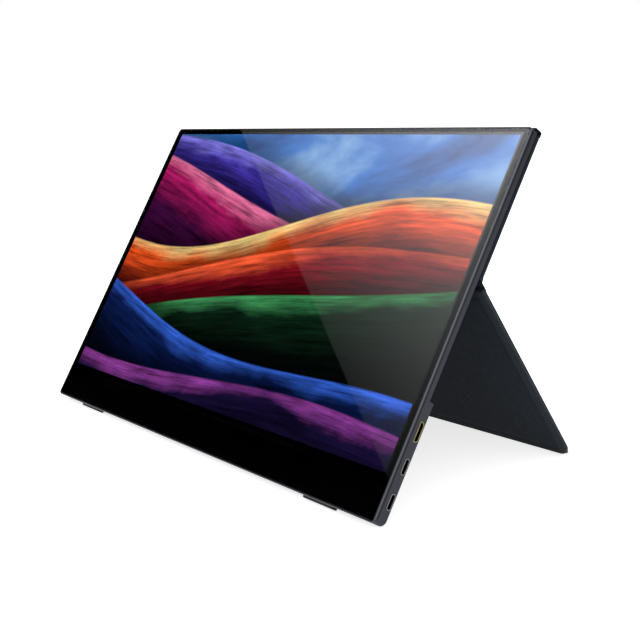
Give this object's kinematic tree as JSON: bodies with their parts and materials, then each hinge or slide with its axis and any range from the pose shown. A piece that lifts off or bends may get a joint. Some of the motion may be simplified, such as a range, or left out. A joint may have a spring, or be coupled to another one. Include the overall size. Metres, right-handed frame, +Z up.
{
  "type": "portable monitor with cover",
  "caption": "Thin portable monitor that leans back on its own folio cover: glass front, side sockets and keys, and a soft cover that folds over the screen or stands behind.",
  "frame": {"origin": "middle of the footprint, on the table under the feet and the flap's edge", "axes": "+Z up, +X to the right as the screen is seen, the screen faces -Y and leans back"},
  "size_m": [0.3574, 0.155, 0.1916],
  "materials": {
    "housing_paint": "matte slate grey anodised",
    "cover_glass": "gloss",
    "black_tape": "matte",
    "display_cell": "gloss",
    "film": "satin",
    "acrylic": "gloss",
    "steel_sheet": "satin",
    "board_green": "satin",
    "chip_black": "matte",
    "silicone": "matte",
    "polyimide": "satin",
    "port_steel": "bright",
    "port_gold": "bright",
    "key_plastic": "matte",
    "screw_steel": "black oxide",
    "foot_rubber": "matte",
    "magnet": "nickel",
    "leather": "fine grain",
    "lining": "microfibre",
    "cover_board": "matte"
  },
  "bodies": {
    "monitor": {"front_frame": "housing_paint", "cover_glass": "cover_glass", "glass_tape": "black_tape", "lcd_cell": "display_cell", "optical_films": "film", "light_guide": "acrylic", "led_bar": "board_green", "reflector_sheet": "film", "panel_tray": "steel_sheet", "panel_tape": "black_tape", "rear_housing": "housing_paint", "bay_cover": "housing_paint", "main_board": "board_green", "scaler_chip": "chip_black", "thermal_pad": "silicone", "board_screws": "screw_steel", "driver_board": "board_green", "driver_flexes": "polyimide", "panel_cable": "polyimide", "speaker_left": "chip_black", "speaker_right": "chip_black", "key_cable": "polyimide", "usb_c_port_lower": "port_steel", "usb_c_port_upper": "port_steel", "mini_hdmi_port": "port_gold", "rocker_pin": "screw_steel", "rocker_bracket": "steel_sheet", "key_board": "board_green", "key_switches": "chip_black", "audio_jack": "key_plastic", "housing_screws": "screw_steel", "frame_magnets": "magnet", "foot_left": "foot_rubber", "foot_right": "foot_rubber", "sheet_adhesive": "black_tape", "cover_back_sheet": "leather"},
    "spine": {"spine_strip": "leather"},
    "cover_panel": {"top_panel_skin": "leather", "top_panel_board": "cover_board", "top_panel_lining": "lining", "top_panel_magnets": "magnet"},
    "crease": {"crease_web": "leather"},
    "stand_flap": {"flap_skin": "leather", "flap_board": "cover_board", "flap_lining": "lining", "flap_magnets": "magnet"},
    "power_key": {"power_button": "key_plastic"},
    "menu_key": {"menu_rocker": "key_plastic"}
  },
  "joints": [
    {"name": "spine_fold", "type": "hinge", "parent": "monitor", "child": "spine", "pos_m": [0.00025, 0.05013, 0.19039], "axis": [1, 0, 0], "range_deg": [0, 180]},
    {"name": "lid_fold", "type": "hinge", "parent": "spine", "child": "cover_panel", "pos_m": [0.00025, 0.05426, 0.18766], "axis": [1, 0, 0], "range_deg": [0, 180]},
    {"name": "crease_fold", "type": "hinge", "parent": "cover_panel", "child": "crease", "pos_m": [0.00025, 0.00541, 0.1138], "axis": [1, 0, 0], "range_deg": [-66, 0]},
    {"name": "stand_tilt", "type": "hinge", "parent": "crease", "child": "stand_flap", "pos_m": [0.00025, 0.00735, 0.11077], "axis": [1, 0, 0], "range_deg": [-66, 0]},
    {"name": "power_press", "type": "slide", "parent": "monitor", "child": "power_key", "axis": [1, 0, 0], "range_m": [0, 0.0003], "stiffness_N_per_m": 900},
    {"name": "menu_rock", "type": "hinge", "parent": "monitor", "child": "menu_key", "pos_m": [-0.17395, -0.05401, 0.02986], "axis": [0, -0.8341, 0.5517], "range_deg": [-2.5, 2.5], "stiffness_Nm_per_rad": 0.03}
  ],
  "couplings": [
    {"joint": "lid_fold", "follows": "spine_fold", "ratio": 1},
    {"joint": "crease_fold", "follows": "spine_fold", "ratio": -0.36667}
  ]
}
